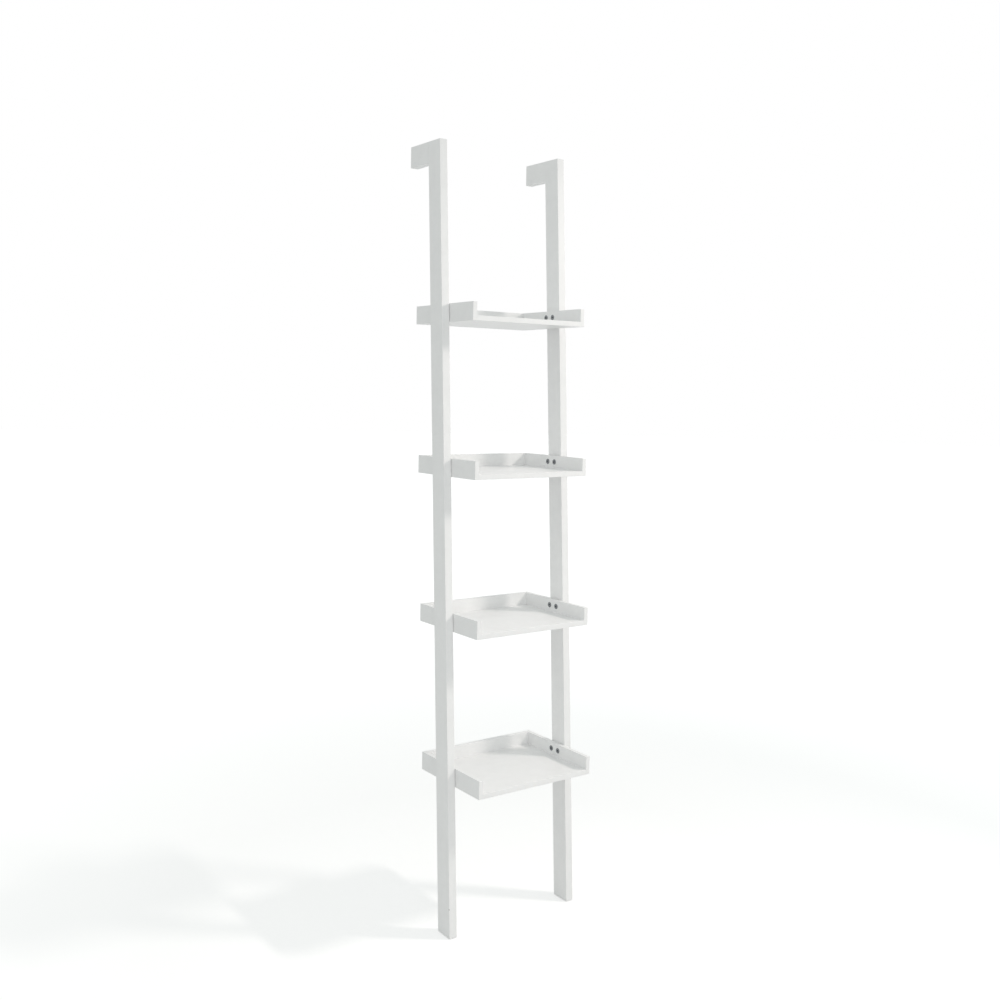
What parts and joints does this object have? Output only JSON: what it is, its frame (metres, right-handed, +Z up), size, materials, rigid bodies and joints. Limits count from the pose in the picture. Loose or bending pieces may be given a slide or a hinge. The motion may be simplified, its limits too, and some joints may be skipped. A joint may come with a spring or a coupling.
{
  "type": "ladder shelf",
  "caption": "Leaning ladder shelf: two uprights tilted back to a wall on short top arms, with level rimmed trays bolted between them.",
  "frame": {"origin": "on the floor, under the middle of the bounding box", "axes": "+X to the shelf's right, +Y back towards the wall, +Z up; the open fronts of the trays face -Y"},
  "size_m": [0.366, 0.3046, 1.85],
  "materials": {
    "upright_paint": "white satin lacquer, sprayed",
    "tray_paint": "white satin lacquer, sprayed",
    "zinc_bolt": "zinc plated",
    "zinc_insert": "cast zinc alloy",
    "beech_dowel": "bare turned beech"
  },
  "bodies": {
    "root": {"left_upright": "upright_paint", "left_arm": "upright_paint", "left_arm_dowel_upper": "beech_dowel", "left_arm_dowel_lower": "beech_dowel", "right_upright": "upright_paint", "right_arm": "upright_paint", "right_arm_dowel_upper": "beech_dowel", "right_arm_dowel_lower": "beech_dowel", "tray_1_floor": "tray_paint", "tray_1_back": "tray_paint", "tray_1_left_side": "tray_paint", "tray_1_right_side": "tray_paint", "tray_1_left_bolt_front": "zinc_bolt", "tray_1_left_insert_front": "zinc_insert", "tray_1_left_bolt_rear": "zinc_bolt", "tray_1_left_insert_rear": "zinc_insert", "tray_1_right_bolt_front": "zinc_bolt", "tray_1_right_insert_front": "zinc_insert", "tray_1_right_bolt_rear": "zinc_bolt", "tray_1_right_insert_rear": "zinc_insert", "tray_2_floor": "tray_paint", "tray_2_back": "tray_paint", "tray_2_left_side": "tray_paint", "tray_2_right_side": "tray_paint", "tray_2_left_bolt_front": "zinc_bolt", "tray_2_left_insert_front": "zinc_insert", "tray_2_left_bolt_rear": "zinc_bolt", "tray_2_left_insert_rear": "zinc_insert", "tray_2_right_bolt_front": "zinc_bolt", "tray_2_right_insert_front": "zinc_insert", "tray_2_right_bolt_rear": "zinc_bolt", "tray_2_right_insert_rear": "zinc_insert", "tray_3_floor": "tray_paint", "tray_3_back": "tray_paint", "tray_3_left_side": "tray_paint", "tray_3_right_side": "tray_paint", "tray_3_left_bolt_front": "zinc_bolt", "tray_3_left_insert_front": "zinc_insert", "tray_3_left_bolt_rear": "zinc_bolt", "tray_3_left_insert_rear": "zinc_insert", "tray_3_right_bolt_front": "zinc_bolt", "tray_3_right_insert_front": "zinc_insert", "tray_3_right_bolt_rear": "zinc_bolt", "tray_3_right_insert_rear": "zinc_insert", "tray_4_floor": "tray_paint", "tray_4_back": "tray_paint", "tray_4_left_side": "tray_paint", "tray_4_right_side": "tray_paint", "tray_4_left_bolt_front": "zinc_bolt", "tray_4_left_insert_front": "zinc_insert", "tray_4_left_bolt_rear": "zinc_bolt", "tray_4_left_insert_rear": "zinc_insert", "tray_4_right_bolt_front": "zinc_bolt", "tray_4_right_insert_front": "zinc_insert", "tray_4_right_bolt_rear": "zinc_bolt", "tray_4_right_insert_rear": "zinc_insert"}
  },
  "joints": []
}
